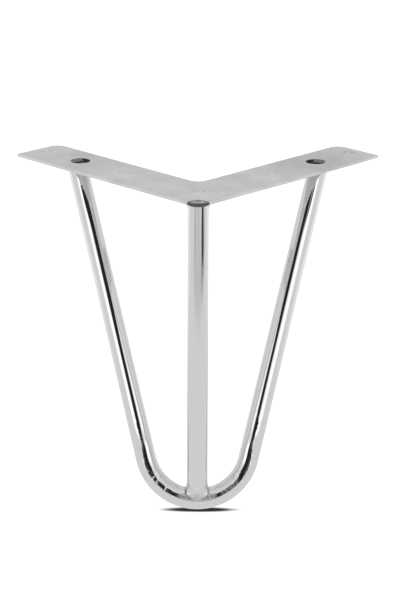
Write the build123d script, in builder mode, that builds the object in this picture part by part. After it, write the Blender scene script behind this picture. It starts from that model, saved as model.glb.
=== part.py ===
from build123d import *
from math import asin, atan2, cos, hypot, sin, sqrt, tan
import os

# Three-rod hairpin leg for furniture. Millimetres, +Z up, foot down.
# The origin is the corner screw hole's centre on the plate's top face.
# The plate's two arms run back to the left and right at 45 degrees,
# so the leg is symmetric about the YZ plane.

# Driving dimensions
leg_height = 150.0        # plate's top face to the floor
rod_diameter = 10.0
arm_length = 130.0        # each arm, from the plate's outer corner
arm_width = 28.0
plate_thickness = 1.5
tip_corner_radius = 6.0   # inner corner at each arm's end
crotch_radius = 5.0       # inner corner between the arms
outer_tip_radius = 0.6    # broken outer corners at the arms' ends
edge_break = 0.2          # chamfer round the plate's outline

bend_radius = 25.5        # the hairpin's centreline
seat_half_span = 61.05    # hairpin's axis to the middle plane, at the plate's top
seat_depth = 79.0         # hairpin's axis behind the outer corner, at the plate's top
foot_forward = 10.0       # foot's axis in front of the outer corner
corner_rod_depth = 3.8    # corner rod's axis behind the outer corner, at the plate's top
corner_rod_recess = 0.5   # corner rod's end below the plate's top face

notch_diameter = 11.0     # round notch in the plate's corner for the corner rod
rod_hole_diameter = 10.0  # in each arm, over the hairpin's end
rod_hole_station = 97.5   # along each arm, from the outer corner
screw_hole_diameter = 5.5
arm_screw_stations = (65.5, 123.0)   # along each arm, from the outer corner
corner_screw_inset = 16.5            # from both outer edges

weld_leg = 2.2            # beads under the plate
weld_lip = 0.15           # thickness that a bead's edge keeps
foot_weld_sections = ((12.0, 4.95, 4.9), (8.0, 5.35, 4.8), (4.5, 6.7, 4.6))  # height, half widths

# Worked out from the above
rounded_corners = (       # on the plate's outline, drawn from its outer corner
    ((arm_width, arm_width), crotch_radius),
    ((arm_length, arm_width), tip_corner_radius),
    ((arm_width, arm_length), tip_corner_radius),
    ((arm_length, 0), outer_tip_radius),
    ((0, arm_length), outer_tip_radius),
)
rod_radius = rod_diameter / 2
notch_radius = notch_diameter / 2
rod_hole_radius = rod_hole_diameter / 2
screw_radius = screw_hole_diameter / 2
arm_holes = (             # station along each arm, and radius
    (arm_screw_stations[0], screw_radius),
    (rod_hole_station, rod_hole_radius),
    (arm_screw_stations[1], screw_radius),
)
corner_setback = corner_screw_inset * sqrt(2)      # outer corner in front of the origin
foot_axis_depth = leg_height - rod_radius
cope_trim = rod_radius / 4                         # corner rod stops this far above the bend's axis
through = 4 * rod_diameter                         # longer than any cut needs

plate_top = Plane(origin=(0, -corner_setback, 0), x_dir=(1, 1, 0), z_dir=(0, 0, 1))

foot_axis = Vector(0, -foot_forward - corner_setback, -foot_axis_depth)
hairpin_head = Vector(0, seat_depth - corner_setback, 0)
corner_seat = Vector(0, corner_rod_depth - corner_setback, 0)

hairpin_rise = hairpin_head - foot_axis
hairpin_height = hairpin_rise.length
hairpin_plane = Plane(
    origin=foot_axis,
    x_dir=(1, 0, 0),
    z_dir=Vector(1, 0, 0).cross(hairpin_rise.normalized()),
)

# Half the angle between the hairpin's legs, and the point where they would meet below the bend
centre_to_head = hairpin_height - bend_radius
splay = atan2(seat_half_span, centre_to_head) - asin(bend_radius / hypot(seat_half_span, centre_to_head))
apex_drop = bend_radius / sin(splay) - bend_radius
overrun = 2 * rod_diameter


def seat(side):
    """Hairpin's axis at the plate's top face, on the left (-1) or right (+1) arm."""
    return Vector(side * seat_half_span, hairpin_head.Y, 0)


def leg_direction(side):
    """Unit vector up along one leg of the hairpin."""
    local = Vector(side * sin(splay), cos(splay), 0)
    return (hairpin_plane.from_local_coords(local) - hairpin_plane.origin).normalized()


def axis_at(point, direction, z):
    """Point of an axis at a given height."""
    return point + direction * ((z - point.Z) / direction.Z)


def plate_outline():
    """L-shaped outline of the mounting plate, drawn from its outer corner."""
    Rectangle(arm_length, arm_width, align=(Align.MIN, Align.MIN))
    Rectangle(arm_width, arm_length, align=(Align.MIN, Align.MIN))


def heading(direction):
    """Direction in plan in which an axis leans, in degrees from +X."""
    in_plan = Vector(direction.X, direction.Y, 0)
    return Vector(1, 0, 0).get_signed_angle(in_plan, Vector(0, 0, 1))


def end_weld(point, direction, rod):
    """Weld bead under the plate round one rod's end."""
    with BuildPart() as bead:
        for z, leg in ((-plate_thickness, weld_leg), (-plate_thickness - weld_leg, weld_lip)):
            centre = axis_at(point, direction, z)
            with BuildSketch(Plane.XY.offset(z)):
                with Locations((centre.X, centre.Y)):
                    Ellipse(rod_radius / direction.Z + leg, rod_radius + leg, rotation=heading(direction))
        loft()
        with BuildSketch(plate_top):
            plate_outline()
        extrude(amount=-plate_thickness - 2 * weld_leg, mode=Mode.INTERSECT)
        add(rod, mode=Mode.SUBTRACT)
    return bead


corner_direction = (corner_seat - foot_axis).normalized()

# Mounting plate
with BuildPart() as mounting_plate:
    with BuildSketch(plate_top) as outline:
        plate_outline()
        for corner, radius in rounded_corners:
            fillet(outline.vertices().sort_by_distance(corner)[0], radius=radius)
    extrude(amount=-plate_thickness)
    rims = mounting_plate.edges().group_by(Axis.Z)
    chamfer(rims[-1] + rims[0], length=edge_break)
    with BuildSketch(plate_top):
        with Locations((corner_screw_inset, corner_screw_inset)):
            Circle(screw_radius)
        for station, radius in arm_holes:
            with Locations((station, arm_width / 2), (arm_width / 2, station)):
                Circle(radius)
    extrude(amount=-plate_thickness, mode=Mode.SUBTRACT)
    with BuildSketch(Plane(origin=corner_seat, z_dir=corner_direction)):
        Circle(notch_radius)
    extrude(amount=through, both=True, mode=Mode.SUBTRACT)

# Hairpin rod: a V with its point rounded to the bend, its ends cut flat against the plate
with BuildPart() as hairpin_rod:
    with BuildLine(hairpin_plane) as hairpin_path:
        reach = (hairpin_height + apex_drop + overrun) * tan(splay)
        FilletPolyline(
            (-reach, hairpin_height + overrun),
            (0, -apex_drop),
            (reach, hairpin_height + overrun),
            radius=bend_radius,
        )
    with BuildSketch(Plane(origin=hairpin_path.line @ 0, z_dir=hairpin_path.line % 0)):
        Circle(rod_radius)
    sweep()
    split(bisect_by=Plane.XY.offset(-plate_thickness), keep=Keep.BOTTOM)

# Corner rod: straight, coped over the bend
with BuildPart() as corner_rod:
    with BuildSketch(Plane(origin=foot_axis + corner_direction * cope_trim, z_dir=corner_direction)):
        Circle(rod_radius)
    extrude(amount=leg_height + overrun)
    split(bisect_by=Plane.XY.offset(-corner_rod_recess), keep=Keep.BOTTOM)
    add(hairpin_rod.part, mode=Mode.SUBTRACT)

# Weld in the two crotches between the corner rod and the bend
with BuildPart() as foot_weld:
    for height, half_x, half_y in foot_weld_sections:
        section_origin = foot_axis + corner_direction * height
        with BuildSketch(Plane(origin=section_origin, x_dir=(1, 0, 0), z_dir=corner_direction)):
            Ellipse(half_x, half_y)
    loft()
    add(hairpin_rod.part, mode=Mode.SUBTRACT)
    add(corner_rod.part, mode=Mode.SUBTRACT)

left_end_weld = end_weld(seat(-1), leg_direction(-1), hairpin_rod.part)
right_end_weld = end_weld(seat(1), leg_direction(1), hairpin_rod.part)
corner_end_weld = end_weld(corner_seat, corner_direction, corner_rod.part)

mounting_plate.part.label = "mounting_plate"
hairpin_rod.part.label = "hairpin_rod"
corner_rod.part.label = "corner_rod"
left_end_weld.part.label = "left_end_weld"
right_end_weld.part.label = "right_end_weld"
corner_end_weld.part.label = "corner_end_weld"
foot_weld.part.label = "foot_weld"

os.makedirs("parts", exist_ok=True)
for piece in (mounting_plate, hairpin_rod, corner_rod, left_end_weld, right_end_weld, corner_end_weld, foot_weld):
    export_step(piece.part, f"parts/{piece.part.label}.step")
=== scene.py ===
from math import atan2, cos, pi, radians, sin, sqrt

import bmesh
import bpy
from bpy.props import FloatProperty, FloatVectorProperty, IntProperty, PointerProperty
from mathutils import Euler, Matrix, Quaternion, Vector


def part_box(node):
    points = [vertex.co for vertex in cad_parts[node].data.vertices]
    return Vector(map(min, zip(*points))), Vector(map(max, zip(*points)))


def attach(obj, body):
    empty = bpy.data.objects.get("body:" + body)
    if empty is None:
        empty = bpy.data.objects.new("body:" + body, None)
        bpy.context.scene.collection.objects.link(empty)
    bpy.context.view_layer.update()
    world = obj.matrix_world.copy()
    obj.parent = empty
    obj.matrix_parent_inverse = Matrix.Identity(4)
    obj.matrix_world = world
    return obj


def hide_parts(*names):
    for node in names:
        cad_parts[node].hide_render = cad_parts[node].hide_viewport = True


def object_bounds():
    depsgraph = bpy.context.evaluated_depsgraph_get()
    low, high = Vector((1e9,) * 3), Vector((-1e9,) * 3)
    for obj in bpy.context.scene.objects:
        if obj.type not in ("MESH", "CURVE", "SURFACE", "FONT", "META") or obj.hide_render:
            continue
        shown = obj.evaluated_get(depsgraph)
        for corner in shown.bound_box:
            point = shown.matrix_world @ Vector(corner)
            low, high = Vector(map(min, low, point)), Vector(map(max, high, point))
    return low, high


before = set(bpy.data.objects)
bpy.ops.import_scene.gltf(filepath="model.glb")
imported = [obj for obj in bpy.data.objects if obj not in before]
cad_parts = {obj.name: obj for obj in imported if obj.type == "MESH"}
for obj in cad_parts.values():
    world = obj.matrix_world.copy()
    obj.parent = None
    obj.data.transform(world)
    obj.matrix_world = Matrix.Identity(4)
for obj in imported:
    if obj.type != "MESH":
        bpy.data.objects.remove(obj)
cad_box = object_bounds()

bl_info = {
    "name": "Hairpin Leg Finish",
    "version": (1, 0, 0),
    "blender": (4, 5, 0),
    "location": "View3D > Sidebar > Leg",
    "description": "Chrome finish, weld beads and studio for a three-rod hairpin furniture leg",
    "category": "Object",
}

MM = 0.001
BODY = "root"

# The leg's own places: the first ones are read from the frame, the rest repeat the part's sizes
PLATE_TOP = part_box("mounting_plate")[1].z
PLATE_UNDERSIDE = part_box("mounting_plate")[0].z
FLOOR_LEVEL = cad_box[0].z
ROD_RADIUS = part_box("corner_rod")[1].x
CORNER_ROD_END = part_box("corner_rod")[1].z
HAIRPIN_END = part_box("hairpin_rod")[1].z
BEND_RADIUS = 25.5 * MM
FOOT_AXIS = Vector((0, -33.335 * MM, FLOOR_LEVEL + ROD_RADIUS))
HAIRPIN_HEAD = Vector((0, 55.665 * MM, 0))          # middle of the hairpin's open end
HAIRPIN_SEAT = Vector((61.05 * MM, 55.665 * MM, 0))
CORNER_SEAT = Vector((0, -19.535 * MM, 0))
OUTER_CORNER = Vector((0, -23.335 * MM, 0))
ROD_HOLE = Vector((59.04 * MM, 55.51 * MM, PLATE_TOP))
ROD_HOLE_RADIUS = 5 * MM
NOTCH_RADIUS = 5.5 * MM

HAIRPIN_UP = (HAIRPIN_HEAD - FOOT_AXIS).normalized()
HAIRPIN_NORMAL = Vector((1, 0, 0)).cross(HAIRPIN_UP)
CORNER_UP = (CORNER_SEAT - FOOT_AXIS).normalized()
BEND_CENTRE = FOOT_AXIS + HAIRPIN_UP * BEND_RADIUS

# Half the angle between the hairpin's legs
centre_to_head = (HAIRPIN_HEAD - FOOT_AXIS).length - BEND_RADIUS
leg_run = sqrt(HAIRPIN_SEAT.x ** 2 + centre_to_head ** 2 - BEND_RADIUS ** 2)
SPLAY = atan2(HAIRPIN_SEAT.x, centre_to_head) - atan2(BEND_RADIUS, leg_run)

# Dull places on the bend: how dull, then where each starts, is full, fades and ends, in degrees
# along the bend and round the bar
SCUFFS = (
    (1.0, (-26, -17, 17, 26), (58, 68, 96, 112)),        # ground back at the weld
    (0.5, (52, 64, 86, 104), (56, 66, 78, 90)),          # gripped by the die
    (0.5, (-104, -86, -64, -52), (56, 66, 78, 90)),
    (0.65, (20, 28, 44, 56), (64, 70, 94, 102)),         # rubbed between them
    (0.35, (-66, -56, -30, -18), (64, 70, 94, 102)),
)
# Nicks across the bend's left side: middle and half width along it, start and end round the bar
NICKS = ((-62, 1.6, 60, 80), (-54, 1.6, 62, 88), (-47, 1.9, 62, 106), (-36.5, 2.0, 66, 104))
NICK_FADE = 5
# Painted shade at the foot weld's toes in the crotches: centre, full within, none beyond, stretch by axis, and strength
CROTCH_SHADE_SPOTS = (
    (Vector((-5.5, -36.0, -140.0)) * MM, 0.15 * MM, 0.8 * MM, (1.0, 0.2, 0.28), 0.8),
    (Vector((5.4, -36.0, -139.7)) * MM, 0.15 * MM, 0.9 * MM, (1.0, 0.25, 0.3), 0.56),
)
# Where the plate is darker round the rod holes: side, how far it reaches, and how much
DARKER_ROUND_HOLES = ((-1, 26 * MM, 0.13), (1, 34 * MM, 0.24))


# Shader node helpers

def add_node(tree, kind, inputs=None, **settings):
    """Add a node, set its properties, and set or link its inputs."""
    node = tree.nodes.new(kind)
    for name, value in settings.items():
        setattr(node, name, value)
    for key, value in (inputs or {}).items():
        if isinstance(value, bpy.types.NodeSocket):
            tree.links.new(value, node.inputs[key])
        else:
            node.inputs[key].default_value = value
    return node


def math_node(tree, operation, first, second=0.0, clamp=False):
    """Output of a Math node."""
    return add_node(tree, "ShaderNodeMath", {0: first, 1: second}, operation=operation, use_clamp=clamp).outputs[0]


def product(tree, *values):
    """Two or more values multiplied."""
    result = values[0]
    for value in values[1:]:
        result = math_node(tree, "MULTIPLY", result, value)
    return result


def total(tree, *values):
    """Two or more values added."""
    result = values[0]
    for value in values[1:]:
        result = math_node(tree, "ADD", result, value)
    return result


def minus(tree, first, second):
    """One value less another."""
    return math_node(tree, "SUBTRACT", first, second)


def vector_math(tree, operation, *values):
    """Output of a Vector Math node: a number for a length or a dot product, else a vector."""
    node = add_node(tree, "ShaderNodeVectorMath", dict(enumerate(values)), operation=operation)
    return node.outputs["Value" if operation in ("LENGTH", "DOT_PRODUCT") else "Vector"]


def split(tree, position):
    """Outputs X, Y and Z of a position."""
    return add_node(tree, "ShaderNodeSeparateXYZ", {0: position}).outputs


def mix_colour(tree, factor, first, second):
    """Output of a colour Mix node."""
    node = add_node(tree, "ShaderNodeMix", data_type="RGBA")
    for key, value in (("Factor", factor), ("A", first), ("B", second)):
        kind = "VALUE" if key == "Factor" else "RGBA"
        socket = next(s for s in node.inputs if s.name == key and s.type == kind)
        if isinstance(value, bpy.types.NodeSocket):
            tree.links.new(value, socket)
        else:
            socket.default_value = value
    return next(s for s in node.outputs if s.type == "RGBA")


def map_range(tree, value, low, high, to_low=0.0, to_high=1.0):
    """Output of a smooth, clamped Map Range node."""
    inputs = {"Value": value, "From Min": low, "From Max": high, "To Min": to_low, "To Max": to_high}
    return add_node(tree, "ShaderNodeMapRange", inputs, interpolation_type="SMOOTHSTEP").outputs["Result"]


def between(tree, value, start, full, fading, end):
    """Mask that rises from start to full and falls from fading to end."""
    return product(tree, map_range(tree, value, start, full), map_range(tree, value, fading, end, 1.0, 0.0))


def larger(tree, masks):
    """The larger of several masks."""
    result = masks[0]
    for mask in masks[1:]:
        result = math_node(tree, "MAXIMUM", result, mask)
    return result


def limited(tree, value, most):
    """Value kept between 0 and most."""
    return math_node(tree, "MINIMUM", math_node(tree, "MAXIMUM", value, 0.0), most)


def noise(tree, position, scale, detail, roughness):
    """Output of a Noise Texture."""
    inputs = {"Vector": position, "Scale": scale, "Detail": detail, "Roughness": roughness}
    return add_node(tree, "ShaderNodeTexNoise", inputs).outputs["Fac"]


def grey(value):
    """Opaque grey of one brightness."""
    return (value, value, value, 1.0)


def new_material(name):
    """Material with an empty node tree, and that tree."""
    material = bpy.data.materials.new(name)
    material.use_nodes = True
    material.node_tree.nodes.clear()
    return material, material.node_tree


def new_group(name, inputs, outputs):
    """Empty shader node group with named sockets: its tree, its input node's outputs, its output node's inputs."""
    tree = bpy.data.node_groups.new(name, "ShaderNodeTree")
    for title, kind, default in inputs:
        socket = tree.interface.new_socket(title, in_out="INPUT", socket_type=kind)
        if default is not None:
            socket.default_value = default
    for title, kind in outputs:
        tree.interface.new_socket(title, in_out="OUTPUT", socket_type=kind)
    return tree, tree.nodes.new("NodeGroupInput").outputs, tree.nodes.new("NodeGroupOutput").inputs


def use_group(tree, name, inputs):
    """Outputs of a shared group, placed in a material with that material's own values."""
    group = bpy.data.node_groups.get(name) or SHARED_GROUPS[name]()
    return add_node(tree, "ShaderNodeGroup", inputs, node_tree=group).outputs


# Shared effects

def polish_group():
    """Haze and faint tone changes that buffing leaves in bright chrome."""
    tree, given, out = new_group(
        "Polish",
        (
            ("Position", "NodeSocketVector", None),
            ("Patch Size", "NodeSocketFloat", 0.02),
            ("Roughness", "NodeSocketFloat", 0.05),
            ("Haze", "NodeSocketFloat", 0.05),
            ("Tone Spread", "NodeSocketFloat", 0.03),
        ),
        (("Roughness", "NodeSocketFloat"), ("Tone", "NodeSocketFloat")),
    )
    specks_per_patch = 14.0
    per_metre = math_node(tree, "DIVIDE", 1.0, given["Patch Size"])
    clouds = noise(tree, given["Position"], per_metre, 3.0, 0.55)
    specks = noise(tree, given["Position"], product(tree, per_metre, specks_per_patch), 4.0, 0.7)
    hazy = total(tree, map_range(tree, clouds, 0.35, 0.75), map_range(tree, specks, 0.52, 0.8))
    tree.links.new(total(tree, given["Roughness"], product(tree, hazy, given["Haze"])), out["Roughness"])
    swing = product(tree, minus(tree, clouds, 0.5), given["Tone Spread"])
    tree.links.new(total(tree, swing, 1.0), out["Tone"])
    return tree


def ripple_group():
    """Slight waves and orange peel in plated metal, as a height in metres."""
    tree, given, out = new_group(
        "Plating Ripple",
        (
            ("Position", "NodeSocketVector", None),
            ("Wave Length", "NodeSocketFloat", 0.01),
            ("Wave Height", "NodeSocketFloat", 0.00001),
            ("Peel Height", "NodeSocketFloat", 0.000001),
        ),
        (("Height", "NodeSocketFloat"),),
    )
    dimples_per_wave = 9.0
    per_metre = math_node(tree, "DIVIDE", 1.0, given["Wave Length"])
    waves = noise(tree, given["Position"], per_metre, 1.0, 0.4)
    peel = noise(tree, given["Position"], product(tree, per_metre, dimples_per_wave), 2.0, 0.5)
    height = total(tree, product(tree, waves, given["Wave Height"]), product(tree, peel, given["Peel Height"]))
    tree.links.new(height, out["Height"])
    return tree


def near_group():
    """Mask that is 1 round a point and fades to 0, with the distance stretched by axis."""
    tree, given, out = new_group(
        "Near Point",
        (
            ("Position", "NodeSocketVector", None),
            ("Centre", "NodeSocketVector", None),
            ("Stretch", "NodeSocketVector", (1.0, 1.0, 1.0)),
            ("Full Within", "NodeSocketFloat", 0.002),
            ("None Beyond", "NodeSocketFloat", 0.004),
        ),
        (("Mask", "NodeSocketFloat"),),
    )
    offset = vector_math(tree, "SUBTRACT", given["Position"], given["Centre"])
    distance = vector_math(tree, "LENGTH", vector_math(tree, "MULTIPLY", offset, given["Stretch"]))
    mask = map_range(tree, distance, given["Full Within"], given["None Beyond"], 1.0, 0.0)
    tree.links.new(mask, out["Mask"])
    return tree


def bend_group():
    """Place on the hairpin's bend: angle round the bar and angle along the bend, in degrees."""
    tree, given, out = new_group(
        "Bend Place",
        (("Position", "NodeSocketVector", None),),
        (("Around", "NodeSocketFloat"), ("Along", "NodeSocketFloat")),
    )
    offset = vector_math(tree, "SUBTRACT", given["Position"], BEND_CENTRE)
    across = vector_math(tree, "DOT_PRODUCT", offset, HAIRPIN_NORMAL)
    drop = product(tree, vector_math(tree, "DOT_PRODUCT", offset, HAIRPIN_UP), -1.0)
    aside = split(tree, offset)["X"]
    reach = math_node(tree, "SQRT", total(tree, product(tree, aside, aside), product(tree, drop, drop)))
    around = math_node(tree, "ARCTAN2", across, minus(tree, reach, BEND_RADIUS))
    along = math_node(tree, "ARCTAN2", aside, drop)
    tree.links.new(math_node(tree, "DEGREES", around), out["Around"])
    tree.links.new(math_node(tree, "DEGREES", along), out["Along"])
    return tree


SHARED_GROUPS = {
    "Polish": polish_group, "Plating Ripple": ripple_group, "Near Point": near_group, "Bend Place": bend_group,
}


# Chrome

class Chrome:
    """One chrome finish: its tone, its polish and its ripple, in metres."""

    def __init__(self, tone, roughness, haze, tone_spread, patch, wave, wave_height, peel_height):
        self.tone, self.roughness, self.haze, self.tone_spread, self.patch = tone, roughness, haze, tone_spread, patch
        self.wave, self.wave_height, self.peel_height = wave, wave_height, peel_height


def chrome_material(name, chrome, darkening=None, darkening_tone=0.05, matte=None, marks=None):
    """Bright chrome with polish haze and plating ripple.

    darkening gives a mask of places painted dark (painted shade down the rod holes, on the rod ends and
    bead tops under the plate and in the foot weld's crotches, and a darker patch round the rod holes),
    matte one of places that weren't polished before it, and marks an added height.
    """
    darkening_roughness, matte_roughness = 0.5, 0.4
    material, tree = new_material(name)
    position = add_node(tree, "ShaderNodeTexCoord").outputs["Object"]
    polish = use_group(tree, "Polish", {
        "Position": position, "Patch Size": chrome.patch, "Roughness": chrome.roughness,
        "Haze": chrome.haze, "Tone Spread": chrome.tone_spread,
    })
    height = use_group(tree, "Plating Ripple", {
        "Position": position, "Wave Length": chrome.wave,
        "Wave Height": chrome.wave_height, "Peel Height": chrome.peel_height,
    })["Height"]
    colour = vector_math(tree, "MULTIPLY", chrome.tone[:3], polish["Tone"])
    rough = polish["Roughness"]
    if darkening:
        # Colour mixed towards a dark grey: painted shade, and on the plate a darker patch round the rod holes
        mask = darkening(tree, position)
        colour = mix_colour(tree, mask, colour, grey(darkening_tone))
        rough = math_node(tree, "ADD", rough, product(tree, mask, darkening_roughness), clamp=True)
    if matte:
        rough = math_node(tree, "ADD", rough, product(tree, matte(tree, position), matte_roughness), clamp=True)
    if marks:
        height = total(tree, height, marks(tree, position))
    bump = add_node(tree, "ShaderNodeBump", {"Strength": 1.0, "Distance": 1.0, "Height": height})
    shader = add_node(tree, "ShaderNodeBsdfPrincipled", {
        "Base Color": colour, "Metallic": 1.0, "Roughness": rough, "Normal": bump.outputs["Normal"],
    })
    add_node(tree, "ShaderNodeOutputMaterial", {"Surface": shader.outputs[0]})
    return material


def dress(node_name, material):
    """Give a CAD node its finish."""
    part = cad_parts[node_name]
    part.data.materials.clear()
    part.data.materials.append(material)


def finished_piece(name, mesh, node_name):
    """Object for a finished mesh that stands for a CAD weld."""
    piece = bpy.data.objects.new(name, mesh)
    bpy.context.scene.collection.objects.link(piece)
    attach(piece, BODY)
    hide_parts(node_name)
    return piece


# Places and marks on the metal

def near(tree, position, centre, full_within, none_beyond, stretch=(1.0, 1.0, 1.0)):
    """Mask round a point of the leg, in metres."""
    return use_group(tree, "Near Point", {
        "Position": position, "Centre": centre, "Stretch": stretch,
        "Full Within": full_within, "None Beyond": none_beyond,
    })["Mask"]


def end_face(tree, position, level):
    """Mask of a rod's cut end."""
    return map_range(tree, split(tree, position)["Z"], level - 0.1 * MM, level - 0.02 * MM)


def wall_of(tree, position, x, y, radius):
    """Mask of the wall of a hole through the plate, below the top face."""
    wall = near(tree, position, Vector((x, y, 0)), radius + 0.1 * MM, radius + 0.3 * MM, (1.0, 1.0, 0.0))
    height = split(tree, position)["Z"]
    return product(tree, wall, map_range(tree, height, PLATE_TOP - 0.12 * MM, PLATE_TOP - 0.03 * MM, 1.0, 0.0))


def rod_hole_walls(tree, position):
    """Mask of both rod holes' walls."""
    return larger(tree, [
        wall_of(tree, position, side * ROD_HOLE.x, ROD_HOLE.y, ROD_HOLE_RADIUS) for side in (-1, 1)
    ])


def across_hole(tree, position):
    """Distance outwards from the inner edge of a rod hole, with a ragged edge."""
    ragged = 1.6 * MM
    aside = math_node(tree, "ABSOLUTE", split(tree, position)["X"])
    jitter = product(tree, noise(tree, position, 1 / (1.0 * MM), 2.0, 0.5), ragged)
    return total(tree, minus(tree, aside, ROD_HOLE.x - ROD_HOLE_RADIUS + ragged / 2), jitter)


def shaded_holes_and_darker_plate(tree, position):
    """Mask of painted shade on the rod holes' walls towards the plate's corner, and of the darker plate round the
    holes.
    """
    full_within = 8 * MM
    # Painted shade down the holes' walls, on the side towards the plate's corner
    painted_shade = map_range(tree, across_hole(tree, position), 3.4 * MM, 5.2 * MM, 1.0, 0.0)
    darker_patches = [
        product(tree, near(
            tree, position, Vector((side * ROD_HOLE.x, ROD_HOLE.y, 0)), full_within, reach, (1.0, 1.0, 0.0),
        ), share)
        for side, reach, share in DARKER_ROUND_HOLES
    ]
    return larger(tree, [product(tree, painted_shade, rod_hole_walls(tree, position)), *darker_patches])


def rough_walls(tree, position):
    """Mask of the walls that weren't polished: the corner notch's and the rod holes'."""
    notch = wall_of(tree, position, 0, CORNER_SEAT.y, NOTCH_RADIUS)
    return larger(tree, [notch, rod_hole_walls(tree, position)])


def shaded_hairpin_end(tree, position):
    """Mask of painted shade on the hairpin's ends down in the holes: at the holes' fronts, and less towards the plate's
    corner.
    """
    slant = 0.47                                   # how fast the burnt part narrows outwards
    limit = ROD_HOLE.y + ROD_HOLE_RADIUS + 2.2 * MM
    outward = across_hole(tree, position)
    line = total(tree, split(tree, position)["Y"], product(tree, outward, slant))
    # Painted shade over the front of the end, narrowing outwards
    painted_shade = map_range(tree, line, limit - 1.0 * MM, limit + 1.8 * MM, 1.0, 0.0)
    inside = map_range(tree, outward, 2.5 * MM, 5.5 * MM, 0.7, 1.0)
    return product(tree, end_face(tree, position, HAIRPIN_END), product(tree, painted_shade, inside))


def shaded_corner_rod_end(tree, position):
    """Mask of painted shade on the corner rod's end down in the notch, left out in streaks towards the back, at a glint
    and at flecks.
    """
    unshaded_back_place = CORNER_SEAT + Vector((0.5, 5.0, 0)) * MM
    glint_place = CORNER_SEAT + Vector((2.3, 3.5, 0)) * MM
    # The back of the end is left out of the painted shade in streaks, and so is a small spot where a glint shows
    unshaded_back = near(tree, position, unshaded_back_place, 1.4 * MM, 5.6 * MM, (0.7, 1.0, 1.0))
    glint = near(tree, position, glint_place, 0.7 * MM, 1.3 * MM)
    streaks = map_range(tree, noise(tree, position, 1 / (1.2 * MM), 2.0, 0.5), 0.4, 0.6, 0.55, 1.0)
    flecks = map_range(tree, noise(tree, position, 1 / (0.7 * MM), 1.0, 0.5), 0.55, 0.75, 0.0, 0.35)
    bright = larger(tree, [product(tree, unshaded_back, streaks), glint, flecks])
    return product(tree, end_face(tree, position, CORNER_ROD_END), minus(tree, 1.0, bright))


def scuffed(tree, position):
    """Mask of the bar's dull places: where the die gripped it, and where the weld was ground back."""
    place = use_group(tree, "Bend Place", {"Position": position})
    dull = larger(tree, [
        product(tree, between(tree, place["Along"], *along), between(tree, place["Around"], *around), share)
        for share, along, around in SCUFFS
    ])
    streaks = noise(tree, position, 1 / (1.1 * MM), 2.0, 0.6)
    return product(tree, dull, map_range(tree, streaks, 0.3, 0.7, 0.6, 1.2))


def dull_hairpin(tree, position):
    """Mask of the hairpin's scuffs and its sawn ends."""
    return larger(tree, [scuffed(tree, position), end_face(tree, position, HAIRPIN_END)])


def flat_height(tree, outer, inner):
    """Height of two flats beside a line on the bar, from the angles by which they reach past it."""
    squares = total(tree, product(tree, outer, outer), product(tree, inner, inner))
    return product(tree, squares, ROD_RADIUS / 2 * radians(1) ** 2)


def pressed_flat(tree, position):
    """Height of the flats that the bending die pressed along the bend's front, with its scars.

    One flat ends and the next starts at a crease, and a ridge lies behind them. Angles are in
    degrees, along the bend from the foot and round the bar from the bend's outside.
    """
    place = use_group(tree, "Bend Place", {"Position": position})
    along = place["Along"]
    distance = math_node(tree, "ABSOLUTE", along)
    lumps = minus(tree, noise(tree, position, 1 / (2.2 * MM), 1.5, 0.5), 0.5)
    around = total(tree, place["Around"], product(tree, lumps, 8.0))
    low = map_range(tree, distance, 66, 122, 69, 28)
    crease = minus(tree, map_range(tree, distance, 62, 82, 70, 76), map_range(tree, distance, 86, 118, 0, 44))
    high = minus(tree, map_range(tree, distance, 30, 62, 81, 90), map_range(tree, distance, 78, 120, 0, 50))
    outer = limited(tree, minus(tree, around, low), minus(tree, crease, low))
    inner = limited(tree, minus(tree, high, around), minus(tree, high, crease))
    ends = product(tree, between(tree, along, -118, -94, 108, 124), map_range(tree, distance, 14, 22))
    flats = product(tree, flat_height(tree, outer, inner), ends)

    ridge_start, ridge_width, ridge_slope = 92.0, 22.0, -0.17
    past_ridge = limited(tree, minus(tree, around, ridge_start), ridge_width)
    ridge = product(tree, past_ridge, ridge_slope * ROD_RADIUS * radians(1))
    ridge = product(tree, ridge, between(tree, distance, 14, 24, 44, 58))

    nick_depth, nick_raggedness = 0.09 * MM, 9.0
    jagged = total(tree, along, product(tree, lumps, nick_raggedness))
    nicks = larger(tree, [
        product(
            tree, between(tree, jagged, middle - wide, middle, middle, middle + wide),
            between(tree, around, start, start + NICK_FADE, end - NICK_FADE, end),
        )
        for middle, wide, start, end in NICKS
    ])
    pressed = minus(tree, total(tree, flats, ridge), product(tree, nicks, nick_depth))

    scar_height = 0.06 * MM
    scarred = product(tree, between(tree, distance, 20, 28, 56, 66), between(tree, around, 62, 70, 92, 100))
    scars = product(tree, noise(tree, position, 1 / (1.5 * MM), 1.0, 0.5), scar_height)
    return total(tree, pressed, product(tree, scarred, scars))


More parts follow.
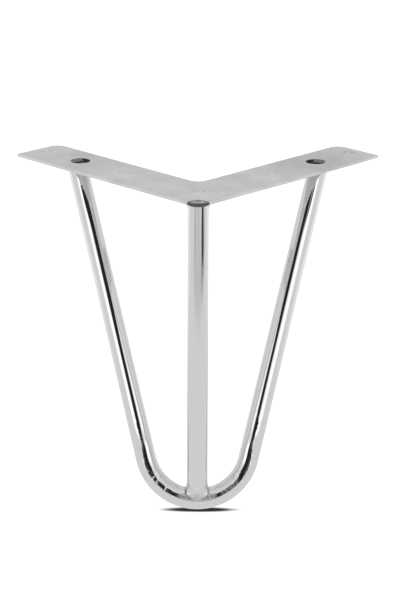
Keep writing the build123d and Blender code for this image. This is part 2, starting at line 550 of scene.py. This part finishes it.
def clamped_flat(tree, position):
    """Height of the shallow flat that the bender's clamp pressed along each leg, narrow at the plate."""
    middle, inner_most, outer_most = 89.0, 16.5, 8.0    # degrees round the bar
    place = split(tree, position)
    one_side = add_node(tree, "ShaderNodeCombineXYZ", {
        "X": math_node(tree, "ABSOLUTE", place["X"]), "Y": place["Y"], "Z": place["Z"],
    }).outputs[0]
    offset = vector_math(tree, "SUBTRACT", one_side, HAIRPIN_SEAT)
    across = vector_math(tree, "DOT_PRODUCT", offset, HAIRPIN_NORMAL)
    out = vector_math(tree, "DOT_PRODUCT", offset, Vector((cos(SPLAY), 0, 0)) - HAIRPIN_UP * sin(SPLAY))
    around = math_node(tree, "DEGREES", math_node(tree, "ARCTAN2", across, out))
    inner_reach = product(
        tree, map_range(tree, place["Z"], -120 * MM, -50 * MM, 0.0, inner_most),
        map_range(tree, place["Z"], -20 * MM, -6 * MM, 1.0, 0.05),
    )
    outer_reach = map_range(tree, place["Z"], -35 * MM, -15 * MM, 0.0, outer_most)
    inner = limited(tree, minus(tree, around, middle), inner_reach)
    outer = limited(tree, minus(tree, middle, around), outer_reach)
    return flat_height(tree, outer, inner)


def hairpin_flats(tree, position):
    """Height of all flats on the hairpin."""
    return total(tree, pressed_flat(tree, position), clamped_flat(tree, position))


def crotch_shade(tree, position):
    """Mask of painted shade at the foot weld's toes, in both crotches."""
    return larger(tree, [
        product(tree, near(tree, position, centre, within, beyond, stretch), strength)
        for centre, within, beyond, stretch, strength in CROTCH_SHADE_SPOTS
    ])


def shaded_bead_tops(tree, position):
    """Mask of painted shade on the beads' tops close under the plate, where they show through the rod holes, towards
    the back of the plate.
    """
    near_plate = PLATE_UNDERSIDE - 0.03 * MM
    place = split(tree, position)
    under_holes = map_range(tree, place["Y"], 0.0, ROD_HOLE.y - ROD_HOLE_RADIUS)
    return product(tree, map_range(tree, place["Z"], near_plate - 0.1 * MM, near_plate), under_holes)


# Settings

class LegFinish(bpy.types.PropertyGroup):
    """Tone and roughness of the chrome"""
    rod_tone: FloatVectorProperty(
        name="Rod tone", description="Colour of the rods' chrome",
        subtype="COLOR", size=3, min=0, max=1, default=(0.77, 0.77, 0.77),
    )
    plate_tone: FloatVectorProperty(
        name="Plate tone", description="Colour of the plate's chrome",
        subtype="COLOR", size=3, min=0, max=1, default=(0.76, 0.76, 0.76),
    )
    weld_tone: FloatVectorProperty(
        name="Weld tone", description="Colour of the chrome over the welds",
        subtype="COLOR", size=3, min=0, max=1, default=(0.74, 0.74, 0.74),
    )
    rod_roughness: FloatProperty(
        name="Rod roughness", description="Roughness of the rods' mirror finish", min=0, max=1, default=0.04,
    )
    plate_roughness: FloatProperty(
        name="Plate roughness", description="Roughness of the plated sheet", min=0, max=1, default=0.14,
    )
    bead_roughness: FloatProperty(
        name="Bead roughness", description="Roughness of the beads under the plate", min=0, max=1, default=0.1,
    )


class LegWelds(bpy.types.PropertyGroup):
    """Shape of the foot weld and the beads"""
    blend_size: FloatProperty(
        name="Foot blend", description="How far the dressed foot weld blends up the corner rod",
        unit="LENGTH", default=0.0048,
    )
    blend_spread: FloatProperty(
        name="Foot blend spread", description="How far the blend runs along the bend, as a share of its run up the rod",
        min=0.1, default=0.55,
    )
    blend_facet: FloatProperty(
        name="Foot blend facet", description="Size of the blend's mesh faces", unit="LENGTH", default=0.00035,
    )
    bead_radius: FloatProperty(
        name="Bead radius", description="Half the thickness of the weld beads under the plate",
        unit="LENGTH", default=0.00155,
    )
    ripple_length: FloatProperty(
        name="Ripple length", description="Distance between the beads' ripples", unit="LENGTH", default=0.0013,
    )
    ripple_share: FloatProperty(
        name="Ripple share", description="Depth of the ripples as a share of the bead's radius", default=0.07,
    )
    seed: IntProperty(name="Seed", description="Varies the beads' unevenness", default=4)


class LegStudio(bpy.types.PropertyGroup):
    """Camera, room and softboxes"""
    camera_distance: FloatProperty(
        name="Camera distance", description="From the plate's outer corner to the camera, along its view",
        unit="LENGTH", default=0.99276,
    )
    lens: FloatProperty(name="Lens", description="Focal length", subtype="DISTANCE_CAMERA", default=127.43)
    pitch: FloatProperty(name="Pitch", description="How far the camera looks down", subtype="ANGLE", default=0.3288)
    turn: FloatProperty(
        name="Turn", description="Camera's heading from straight back", subtype="ANGLE", default=-0.0048,
    )
    roll: FloatProperty(name="Roll", description="Camera's tilt to the side", subtype="ANGLE", default=0.0049)
    room_level: FloatProperty(name="Room light", description="Brightness of the white room", default=0.79)
    softbox_level: FloatProperty(name="Softbox light", description="Brightness of the two softboxes", default=1.4)


# Plate and rods

class LEG_OT_plate(bpy.types.Operator):
    """Finish the mounting plate in chrome over rolled sheet"""
    bl_idname = "leg.plate"
    bl_label = "Mounting Plate"

    def execute(self, context):
        finish = context.scene.leg_finish
        chrome = Chrome(
            finish.plate_tone, finish.plate_roughness, haze=0.12, tone_spread=0.55, patch=16 * MM,
            wave=12 * MM, wave_height=8e-6, peel_height=1.5e-6,
        )
        # The plate gets painted shade down the rod holes' walls and a darker patch round the holes
        dress("mounting_plate", chrome_material(
            "Plate chrome", chrome, darkening=shaded_holes_and_darker_plate, darkening_tone=0.2, matte=rough_walls,
        ))
        return {"FINISHED"}


class LEG_OT_rods(bpy.types.Operator):
    """Finish both rods in mirror chrome, with the marks that bending left"""
    bl_idname = "leg.rods"
    bl_label = "Rods"

    def execute(self, context):
        finish = context.scene.leg_finish
        chrome = Chrome(
            finish.rod_tone, finish.rod_roughness, haze=0.03, tone_spread=0.04, patch=30 * MM,
            wave=12 * MM, wave_height=6e-6, peel_height=4e-7,
        )
        # The rods' ends get painted shade where they sit down in the holes and in the corner notch
        dress("hairpin_rod", chrome_material(
            "Hairpin chrome", chrome, darkening=shaded_hairpin_end, darkening_tone=0.07, matte=dull_hairpin, marks=hairpin_flats,
        ))
        dress("corner_rod", chrome_material(
            "Corner rod chrome", chrome, darkening=shaded_corner_rod_end, darkening_tone=0.05,
        ))
        return {"FINISHED"}


# Foot blend

def bend_distance(point):
    """Distance from the hairpin's bent surface, and the unit vector away from its axis."""
    offset = point - BEND_CENTRE
    in_plane = offset - HAIRPIN_NORMAL * offset.dot(HAIRPIN_NORMAL)
    away = point - (BEND_CENTRE + in_plane.normalized() * BEND_RADIUS)
    return away.length - ROD_RADIUS, away.normalized()


def corner_rod_distance(point):
    """Distance from the corner rod's surface, and the unit vector away from its axis."""
    along = max(0.0, (point - FOOT_AXIS).dot(CORNER_UP))
    away = point - (FOOT_AXIS + CORNER_UP * along)
    return away.length - ROD_RADIUS, away.normalized()


def blended_surface(point, size, spread):
    """Value and direction of the field whose zero is both rods with a smooth blend between them.

    The blend shrinks to nothing where the two surfaces run the same way.
    """
    bend, bend_away = bend_distance(point)
    rod, rod_away = corner_rod_distance(point)
    rod /= spread
    size *= max(1.0 - max(bend_away.dot(rod_away), 0.0) ** 2, 1e-3)
    overlap = max(size - abs(rod - bend), 0.0) / size
    share = overlap * overlap / 2
    rod_share = 1 - share if rod < bend else share
    value = min(rod, bend) - overlap ** 3 * size / 6
    slope = rod_away * (rod_share / spread) + bend_away * (1 - rod_share)
    return value, slope


def add_tube(bm, points, sides=24):
    """Closed tube of the rod's size through points that lie in one plane with X."""
    turns = [2 * pi * k / sides for k in range(sides)]
    rings = []
    for index, point in enumerate(points):
        ahead = points[min(index + 1, len(points) - 1)] - points[max(index - 1, 0)]
        side = ahead.orthogonal().normalized()
        other = ahead.normalized().cross(side)
        rings.append([bm.verts.new(point + (side * cos(t) + other * sin(t)) * ROD_RADIUS) for t in turns])
    for first, second in zip(rings, rings[1:]):
        for k in range(sides):
            bm.faces.new((first[k], first[(k + 1) % sides], second[(k + 1) % sides], second[k]))
    bm.faces.new(rings[0][::-1])
    bm.faces.new(rings[-1])


def joined_rods(context, facet):
    """Evenly faceted mesh of both rods where they meet at the foot."""
    rod_steps = range(0, 18, 2)                    # millimetres up the corner rod
    bend_steps = range(-42, 43, 7)                 # degrees along the bend
    rough = bpy.data.meshes.new("foot_blend_rough")
    bm = bmesh.new()
    add_tube(bm, [FOOT_AXIS + CORNER_UP * (step * MM) for step in rod_steps])
    arc = [radians(angle) for angle in bend_steps]
    add_tube(bm, [
        BEND_CENTRE + Vector((sin(a), 0, 0)) * BEND_RADIUS - HAIRPIN_UP * (cos(a) * BEND_RADIUS) for a in arc
    ])
    bmesh.ops.recalc_face_normals(bm, faces=bm.faces)
    bm.to_mesh(rough)
    bm.free()

    shell = bpy.data.objects.new("foot_blend_rough", rough)
    context.scene.collection.objects.link(shell)
    remesh = shell.modifiers.new("remesh", "REMESH")
    remesh.mode = "VOXEL"
    remesh.voxel_size = facet
    context.view_layer.update()
    mesh = bpy.data.meshes.new_from_object(shell.evaluated_get(context.evaluated_depsgraph_get()))
    bpy.data.objects.remove(shell)
    mesh.name = "foot_blend"
    return mesh


def settle_on_blend(mesh, size, spread):
    """Move a mesh onto the blended surface and keep only where it stands off the rods."""
    passes, least_standing, edge_sink = 6, 0.002 * MM, 0.01 * MM
    bm = bmesh.new()
    bm.from_mesh(mesh)
    standing = {}
    for vert in bm.verts:
        for _ in range(passes):
            value, slope = blended_surface(vert.co, size, spread)
            vert.co -= slope * (value / slope.length_squared)
        standing[vert] = min(bend_distance(vert.co)[0], corner_rod_distance(vert.co)[0])
    plain = [face for face in bm.faces if all(standing[v] < least_standing for v in face.verts)]
    bmesh.ops.delete(bm, geom=plain, context="FACES")
    if not bm.faces:
        raise RuntimeError("The foot blend has no faces")
    directions = []
    for vert in bm.verts:
        direction = blended_surface(vert.co, size, spread)[1].normalized()
        if vert.is_boundary:
            vert.co -= direction * edge_sink
        directions.append(direction)
    bm.to_mesh(mesh)
    bm.free()
    mesh.shade_smooth()
    mesh.normals_split_custom_set_from_vertices(directions)


class LEG_OT_foot_blend(bpy.types.Operator):
    """Blend the corner rod into the bend, as the ground and plated weld does"""
    bl_idname = "leg.foot_blend"
    bl_label = "Foot Blend"

    def execute(self, context):
        welds = context.scene.leg_welds
        finish = context.scene.leg_finish
        mesh = joined_rods(context, welds.blend_facet)
        settle_on_blend(mesh, welds.blend_size, welds.blend_spread)
        chrome = Chrome(
            finish.weld_tone, finish.rod_roughness + 0.02, haze=0.05, tone_spread=0.06, patch=6 * MM,
            wave=3 * MM, wave_height=1.2e-5, peel_height=1e-6,
        )
        mesh.materials.clear()
        # The foot weld gets painted shade in its crotches
        mesh.materials.append(chrome_material("Foot weld chrome", chrome, darkening=crotch_shade, matte=scuffed))
        finished_piece("foot_blend", mesh, "foot_weld")
        return {"FINISHED"}


# Beads under the plate

def bead_tree():
    """Geometry Nodes that lay a rippled weld bead along an edge path."""
    steps_per_ripple, profile_sides = 8.0, 18
    lumps_per_metre, lump_share = 450.0, 0.35
    tree = bpy.data.node_groups.new("Weld Bead", "GeometryNodeTree")
    tree.interface.new_socket("Path", in_out="INPUT", socket_type="NodeSocketGeometry")
    for title, kind in (
        ("Bead Radius", "NodeSocketFloat"), ("Ripple Length", "NodeSocketFloat"), ("Ripple Share", "NodeSocketFloat"),
        ("Ceiling", "NodeSocketFloat"), ("Seed", "NodeSocketInt"), ("Material", "NodeSocketMaterial"),
    ):
        tree.interface.new_socket(title, in_out="INPUT", socket_type=kind)
    tree.interface.new_socket("Bead", in_out="OUTPUT", socket_type="NodeSocketGeometry")
    given = tree.nodes.new("NodeGroupInput").outputs

    path = add_node(tree, "GeometryNodeMeshToCurve", {"Mesh": given["Path"]}).outputs[0]
    step = math_node(tree, "DIVIDE", given["Ripple Length"], steps_per_ripple)
    path = add_node(tree, "GeometryNodeResampleCurve", {"Curve": path, "Length": step}, mode="LENGTH").outputs[0]
    run = add_node(tree, "GeometryNodeSplineParameter").outputs["Length"]
    phase = product(tree, math_node(tree, "DIVIDE", run, given["Ripple Length"]), pi)
    wave = math_node(tree, "ABSOLUTE", math_node(tree, "SINE", phase))
    swing = product(tree, minus(tree, wave, 0.6), given["Ripple Share"])
    thickness = product(tree, total(tree, swing, 1.0), given["Bead Radius"])
    profile = add_node(
        tree, "GeometryNodeCurvePrimitiveCircle", {"Resolution": profile_sides, "Radius": 1.0},
    ).outputs["Curve"]
    bead = add_node(
        tree, "GeometryNodeCurveToMesh",
        {"Curve": path, "Profile Curve": profile, "Scale": thickness, "Fill Caps": True},
    ).outputs[0]

    place = add_node(tree, "GeometryNodeInputPosition").outputs[0]
    lumps = add_node(
        tree, "ShaderNodeTexNoise",
        {"Vector": place, "W": given["Seed"], "Scale": lumps_per_metre, "Detail": 1.0}, noise_dimensions="4D",
    ).outputs["Fac"]
    lump_height = product(tree, minus(tree, lumps, 0.5), product(tree, given["Bead Radius"], lump_share))
    normal = add_node(tree, "GeometryNodeInputNormal").outputs[0]
    push = add_node(tree, "ShaderNodeVectorMath", {0: normal, "Scale": lump_height}, operation="SCALE").outputs[0]
    bead = add_node(tree, "GeometryNodeSetPosition", {"Geometry": bead, "Offset": push}).outputs[0]
    at = split(tree, add_node(tree, "GeometryNodeInputPosition").outputs[0])
    capped = add_node(tree, "ShaderNodeCombineXYZ", {
        "X": at["X"], "Y": at["Y"], "Z": math_node(tree, "MINIMUM", at["Z"], given["Ceiling"]),
    }).outputs[0]
    bead = add_node(tree, "GeometryNodeSetPosition", {"Geometry": bead, "Position": capped}).outputs[0]
    bead = add_node(tree, "GeometryNodeSetShadeSmooth", {"Geometry": bead}).outputs[0]
    bead = add_node(tree, "GeometryNodeRealizeInstances", {"Geometry": bead}).outputs[0]
    bead = add_node(tree, "GeometryNodeSetMaterial", {"Geometry": bead, "Material": given["Material"]}).outputs[0]
    add_node(tree, "NodeGroupOutput", {"Bead": bead})
    return tree


def lay_bead(name, node_name, path, closed, tree, values):
    """Lay a bead along a path of points and put it in place of a CAD bead."""
    mesh = bpy.data.meshes.new(name)
    edges = [(k, k + 1) for k in range(len(path) - 1)] + ([(len(path) - 1, 0)] if closed else [])
    mesh.from_pydata(path, edges, [])
    layer = bpy.data.objects.new(name, mesh)
    bpy.context.scene.collection.objects.link(layer)
    modifier = layer.modifiers.new("bead", "NODES")
    modifier.node_group = tree
    for item in tree.interface.items_tree:
        if item.name in values:
            modifier[item.identifier] = values[item.name]
    bpy.context.view_layer.update()
    result = bpy.data.meshes.new_from_object(layer.evaluated_get(bpy.context.evaluated_depsgraph_get()))
    bpy.data.objects.remove(layer)
    if not result.polygons:
        raise RuntimeError(f"The bead {name} has no faces")
    result.name = name
    return finished_piece(name, result, node_name)


class LEG_OT_end_beads(bpy.types.Operator):
    """Lay rippled weld beads round the rods' ends, under the plate"""
    bl_idname = "leg.end_beads"
    bl_label = "End Beads"

    def execute(self, context):
        welds = context.scene.leg_welds
        finish = context.scene.leg_finish
        clearance = 0.35 * MM                          # bead's centre line from the rod's surface
        level = PLATE_UNDERSIDE - 0.45 * MM
        path_points = 72

        chrome = Chrome(
            finish.weld_tone, finish.bead_roughness, haze=0.08, tone_spread=0.12, patch=6 * MM,
            wave=2.5 * MM, wave_height=1.5e-5, peel_height=2e-6,
        )
        # The beads' tops get painted shade close under the plate
        material = chrome_material("Bead chrome", chrome, darkening=shaded_bead_tops, darkening_tone=0.1)
        tree = bead_tree()
        values = {
            "Bead Radius": welds.bead_radius, "Ripple Length": welds.ripple_length,
            "Ripple Share": welds.ripple_share, "Ceiling": PLATE_UNDERSIDE - 0.01 * MM, "Material": material,
        }

        for side, name in ((-1, "left"), (1, "right")):
            seat = Vector((side * HAIRPIN_SEAT.x, HAIRPIN_SEAT.y, 0))
            lean = Vector((side * sin(SPLAY), 0, 0)) + HAIRPIN_UP * cos(SPLAY)
            centre = seat + lean * (level / lean.z)
            along = Vector((lean.x, lean.y, 0)).normalized()
            across = Vector((-along.y, along.x, 0))
            long_half, short_half = ROD_RADIUS / lean.z + clearance, ROD_RADIUS + clearance
            turns = [2 * pi * k / path_points for k in range(path_points)]
            path = [centre + along * (long_half * cos(t)) + across * (short_half * sin(t)) for t in turns]
            values["Seed"] = welds.seed + side
            lay_bead(f"{name}_bead", f"{name}_end_weld", path, True, tree, values)

        middle = CORNER_SEAT + CORNER_UP * (level / CORNER_UP.z)
        reach = ROD_RADIUS + clearance
        arc = [radians(angle) for angle in range(-56, 57, 4)]
        path = [middle + Vector((sin(a), cos(a), 0)) * reach for a in arc]
        values["Seed"] = welds.seed + 5
        lay_bead("corner_bead", "corner_end_weld", path, False, tree, values)
        return {"FINISHED"}


# Stage

PICTURE_SIZE = (401, 601)                    # pixels
CORNER_IN_PICTURE = (198.33, 205.33)         # pixel where the plate's outer corner falls
SENSOR = 36.0                                # millimetres, the picture's long side
FLOOR_HALF = 3.0
BLACK = 0.02

# Softboxes: azimuth and elevation
SOFTBOXES = (("softbox_right", 139, 31), ("softbox_left", -141, 30))
# Cards on the floor: azimuth, nearest and furthest, width, level and soft edges
FLOOR_CARDS = (
    ("shade_right", 134, 0.55, 2.2, 0.8, 0.04, (0.42, 0.17)),
    ("shade_left", -150, 0.55, 2.2, 0.6, 0.5, (0.42, 0.17)),
    ("shade_front", 178, 0.5, 2.2, 1.1, 0.64, (0.3, 0.17)),
)
# Black flags in front of the leg: centre, size and soft edges
FLAGS = (
    ("upper_flag", (-0.02, -0.62, 0.46), (0.55, 0.66), (0.11, 0.1)),
    ("lower_flag", (-0.03, -1.5, 0.365), (1.41, 0.97), (0.2, 0.06)),
)


def direction_to(azimuth, elevation):
    """Unit vector; azimuth 0 is +Y and 90 is +X, in degrees."""
    a, e = radians(azimuth), radians(elevation)
    return Vector((sin(a) * cos(e), cos(a) * cos(e), sin(e)))


def card_material(name, level, soft):
    """Card that shows one brightness in reflections and fades out at its edges."""
    material, tree = new_material(name)
    place = split(tree, add_node(tree, "ShaderNodeTexCoord").outputs["UV"])
    shares = []
    for axis, width in zip(("X", "Y"), soft):
        from_middle = math_node(tree, "ABSOLUTE", minus(tree, place[axis], 0.5))
        shares.append(map_range(tree, from_middle, 0.5 - width, 0.5, 1.0, 0.0))
    clear = add_node(tree, "ShaderNodeBsdfTransparent")
    glow = add_node(tree, "ShaderNodeEmission", {"Color": grey(1.0), "Strength": level})
    mixed = add_node(tree, "ShaderNodeMixShader", {0: product(tree, *shares), 1: clear.outputs[0], 2: glow.outputs[0]})
    add_node(tree, "ShaderNodeOutputMaterial", {"Surface": mixed.outputs[0]})
    return material


def add_card(name, centre, rotation, size, level, soft):
    """Rectangle seen only in reflections."""
    mesh = bpy.data.meshes.new(name)
    x, y = size[0] / 2, size[1] / 2
    mesh.from_pydata([(-x, -y, 0), (x, -y, 0), (x, y, 0), (-x, y, 0)], [], [(0, 1, 2, 3)])
    uv = mesh.uv_layers.new(name="card")
    for corner, place in enumerate(((0, 0), (1, 0), (1, 1), (0, 1))):
        uv.data[corner].uv = place
    card = bpy.data.objects.new(name, mesh)
    bpy.context.scene.collection.objects.link(card)
    card.location = centre
    card.rotation_mode = "QUATERNION"
    card.rotation_quaternion = rotation
    card.visible_camera = False
    card.visible_diffuse = False
    card.visible_shadow = False
    mesh.materials.append(card_material(name, level, soft))
    return card


def card_towards(name, azimuth, elevation, distance, size, level, soft):
    """Card that faces the leg's middle from a direction."""
    away = direction_to(azimuth, elevation)
    centre = Vector((0, 0, FLOOR_LEVEL / 2)) + away * distance
    return add_card(name, centre, away.to_track_quat("-Z", "Y"), size, level, soft)


def card_on_floor(name, azimuth, nearest, furthest, width, level, soft):
    """Card that lies on the floor and runs outwards from the leg."""
    middle = direction_to(azimuth, 0) * ((nearest + furthest) / 2) + Vector((0, 0, FLOOR_LEVEL + MM))
    turned = Quaternion((0, 0, 1), -radians(azimuth))
    return add_card(name, middle, turned, (width, furthest - nearest), level, soft)


def floor_material(room_level):
    """White floor with a painted contact shadow under the foot over its real shading, that reflects as the pale room
    does.
    """
    shadow_centre = Vector((0.9 * MM, FOOT_AXIS.y - 1.5 * MM, FLOOR_LEVEL))
    shadow_stretch = (40.5, 265.0, 0.0)          # one over its half length and half width, in metres
    darkest, own_glow = 0.03, 0.6
    bright_from, bright_by = 0.0, 0.25           # behind the leg, the floor's reflection gets brighter
    material, tree = new_material("White floor")
    position = add_node(tree, "ShaderNodeTexCoord").outputs["Object"]
    light_path = add_node(tree, "ShaderNodeLightPath").outputs
    # Painted contact shadow: a dark ellipse in the floor's colour under the foot
    painted_contact_shadow = near(tree, position, shadow_centre, 0.35, 1.05, shadow_stretch)
    shade = map_range(tree, painted_contact_shadow, 0.0, 1.0, 1.0, darkest)
    diffuse = add_node(tree, "ShaderNodeBsdfDiffuse", {"Color": mix_colour(tree, shade, grey(0.0), grey(0.8))})
    seen = product(tree, shade, own_glow, light_path["Is Camera Ray"])
    glow = add_node(tree, "ShaderNodeEmission", {"Color": grey(1.0), "Strength": seen})
    lit = add_node(tree, "ShaderNodeAddShader", {0: diffuse.outputs[0], 1: glow.outputs[0]})
    behind = map_range(tree, split(tree, position)["Y"], bright_from, bright_by, room_level, 1.0)
    plain = add_node(tree, "ShaderNodeEmission", {"Color": grey(1.0), "Strength": behind})
    mixed = add_node(
        tree, "ShaderNodeMixShader", {0: light_path["Is Glossy Ray"], 1: lit.outputs[0], 2: plain.outputs[0]},
    )
    add_node(tree, "ShaderNodeOutputMaterial", {"Surface": mixed.outputs[0]})
    return material


class LEG_OT_stage(bpy.types.Operator):
    """Set up the white floor, the room, the cards and the camera"""
    bl_idname = "leg.stage"
    bl_label = "Stage"

    def execute(self, context):
        scene = context.scene
        studio = scene.leg_studio
        scene.view_settings.view_transform = "Standard"
        self.add_room(scene, studio)
        self.add_cards(studio)
        self.add_camera(scene, studio)
        return {"FINISHED"}

    def add_room(self, scene, studio):
        """World that is white to the camera and pale grey in reflections, and the floor."""
        world = bpy.data.worlds.new("White room")
        scene.world = world
        world.use_nodes = True
        tree = world.node_tree
        tree.nodes.clear()
        seen = add_node(tree, "ShaderNodeLightPath").outputs["Is Camera Ray"]
        strength = map_range(tree, seen, 0.0, 1.0, studio.room_level, 1.0)
        sky = add_node(tree, "ShaderNodeBackground", {"Color": grey(1.0), "Strength": strength})
        add_node(tree, "ShaderNodeOutputWorld", {"Surface": sky.outputs[0]})

        mesh = bpy.data.meshes.new("floor")
        corners = [(-1, -1), (1, -1), (1, 1), (-1, 1)]
        mesh.from_pydata([(x * FLOOR_HALF, y * FLOOR_HALF, FLOOR_LEVEL) for x, y in corners], [], [(0, 1, 2, 3)])
        floor = bpy.data.objects.new("floor", mesh)
        scene.collection.objects.link(floor)
        mesh.materials.append(floor_material(studio.room_level))

    def add_cards(self, studio):
        """Softboxes, a pale backdrop, shades on the floor and black flags in front."""
        for name, azimuth, elevation in SOFTBOXES:
            card_towards(name, azimuth, elevation, 1.0, (0.78, 0.68), studio.softbox_level, (0.42, 0.3))
        card_towards("backdrop", 0, 22, 1.5, (3.2, 1.1), 0.66, (0.25, 0.3))
        for card in FLOOR_CARDS:
            card_on_floor(*card)
        front = Vector((0, -1, 0)).to_track_quat("-Z", "Y")
        for name, centre, size, soft in FLAGS:
            add_card(name, Vector(centre), front, size, BLACK, soft)

    def add_camera(self, scene, studio):
        """Camera that sees the plate's outer corner where the picture has it."""
        tilt = Euler((pi / 2 - studio.pitch, 0, studio.turn)).to_matrix() @ Matrix.Rotation(studio.roll, 3, "Z")
        focal_pixels = studio.lens / SENSOR * PICTURE_SIZE[1]
        aside = (CORNER_IN_PICTURE[0] - PICTURE_SIZE[0] / 2) / focal_pixels
        below = (CORNER_IN_PICTURE[1] - PICTURE_SIZE[1] / 2) / focal_pixels
        place = OUTER_CORNER - tilt @ Vector((aside, -below, -1)) * studio.camera_distance
        lens = bpy.data.cameras.new("camera")
        lens.lens = studio.lens
        lens.sensor_width = SENSOR
        camera = bpy.data.objects.new("camera", lens)
        camera.matrix_world = Matrix.Translation(place) @ tilt.to_4x4()
        scene.collection.objects.link(camera)
        scene.camera = camera


class LEG_PT_panel(bpy.types.Panel):
    """The leg's pieces and its stage"""
    bl_idname = "LEG_PT_panel"
    bl_label = "Hairpin Leg"
    bl_space_type = "VIEW_3D"
    bl_region_type = "UI"
    bl_category = "Leg"

    def draw(self, context):
        for operator in OPERATORS:
            self.layout.operator(operator.bl_idname)
        for settings in (context.scene.leg_finish, context.scene.leg_welds, context.scene.leg_studio):
            for name in settings.__annotations__:
                self.layout.prop(settings, name)


OPERATORS = (LEG_OT_plate, LEG_OT_rods, LEG_OT_foot_blend, LEG_OT_end_beads, LEG_OT_stage)
CLASSES = (LegFinish, LegWelds, LegStudio, *OPERATORS, LEG_PT_panel)


def register():
    for cls in CLASSES:
        bpy.utils.register_class(cls)
    bpy.types.Scene.leg_finish = PointerProperty(type=LegFinish)
    bpy.types.Scene.leg_welds = PointerProperty(type=LegWelds)
    bpy.types.Scene.leg_studio = PointerProperty(type=LegStudio)


def unregister():
    del bpy.types.Scene.leg_studio
    del bpy.types.Scene.leg_welds
    del bpy.types.Scene.leg_finish
    for cls in reversed(CLASSES):
        bpy.utils.unregister_class(cls)


def main():
    register()
    bpy.ops.leg.plate()
    bpy.ops.leg.rods()
    bpy.ops.leg.foot_blend()
    bpy.ops.leg.end_beads()
    bpy.ops.leg.stage()


if __name__ == "__main__":
    main()
